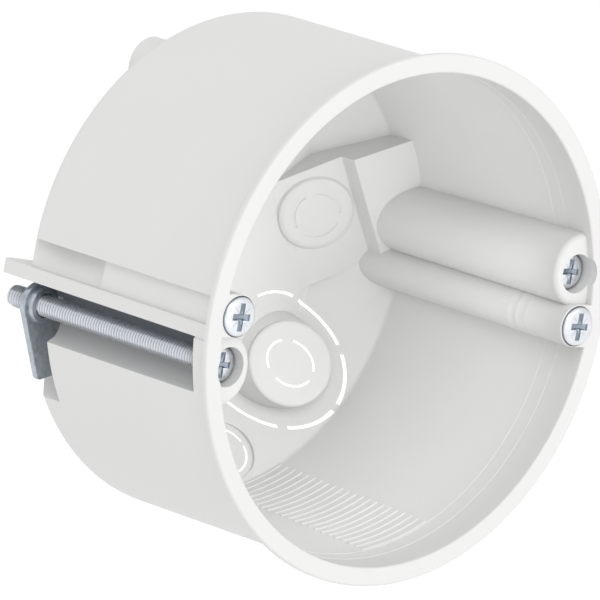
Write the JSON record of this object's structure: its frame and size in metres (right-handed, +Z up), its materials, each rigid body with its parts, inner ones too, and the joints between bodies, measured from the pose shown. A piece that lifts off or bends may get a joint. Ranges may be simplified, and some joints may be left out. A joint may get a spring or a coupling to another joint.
{
  "type": "drywall back box",
  "caption": "Round flush-mounting box for hollow walls: a moulded cup with a thin front flange, perforated cable entries, swing-out claws on long screws and device fixing screws.",
  "frame": {"origin": "centre of the flange's back face, on the axis of the wall hole", "axes": "+Y into the wall along the box's axis, +X to the right seen from the front, +Z up, with the device screws level on the X axis"},
  "size_m": [0.0694, 0.0455, 0.0694],
  "materials": {
    "moulding": "white, fine satin texture",
    "screw_steel": "zinc plated, blue-grey",
    "claw_steel": "zinc plated sheet, satin"
  },
  "bodies": {
    "box": {"box_body": "moulding"},
    "claw_screw_left": {"claw_screw_left": "screw_steel"},
    "claw_screw_right": {"claw_screw_right": "screw_steel"},
    "claw_left": {"claw_left": "claw_steel"},
    "claw_right": {"claw_right": "claw_steel"},
    "device_screw_left": {"device_screw_left": "screw_steel"},
    "device_screw_right": {"device_screw_right": "screw_steel"}
  },
  "joints": [
    {"name": "claw_screw_left_turn", "type": "hinge", "parent": "box", "child": "claw_screw_left", "pos_m": [-0.0294, 0.002, -0.0067], "axis": [0, 1, 0], "continuous": true},
    {"name": "claw_screw_right_turn", "type": "hinge", "parent": "box", "child": "claw_screw_right", "pos_m": [0.0294, 0.002, 0.0067], "axis": [0, 1, 0], "continuous": true},
    {"name": "claw_left_swing", "type": "hinge", "parent": "box", "child": "claw_left", "pos_m": [-0.0294, 0.0363, -0.0067], "axis": [0, 1, 0], "range_deg": [0, 110]},
    {"name": "claw_right_swing", "type": "hinge", "parent": "box", "child": "claw_right", "pos_m": [0.0294, 0.0363, 0.0067], "axis": [0, 1, 0], "range_deg": [0, 110]},
    {"name": "device_screw_left_out", "type": "slide", "parent": "box", "child": "device_screw_left", "axis": [0, -1, 0], "range_m": [0, 0.01]},
    {"name": "device_screw_right_out", "type": "slide", "parent": "box", "child": "device_screw_right", "axis": [0, -1, 0], "range_m": [0, 0.01]}
  ]
}
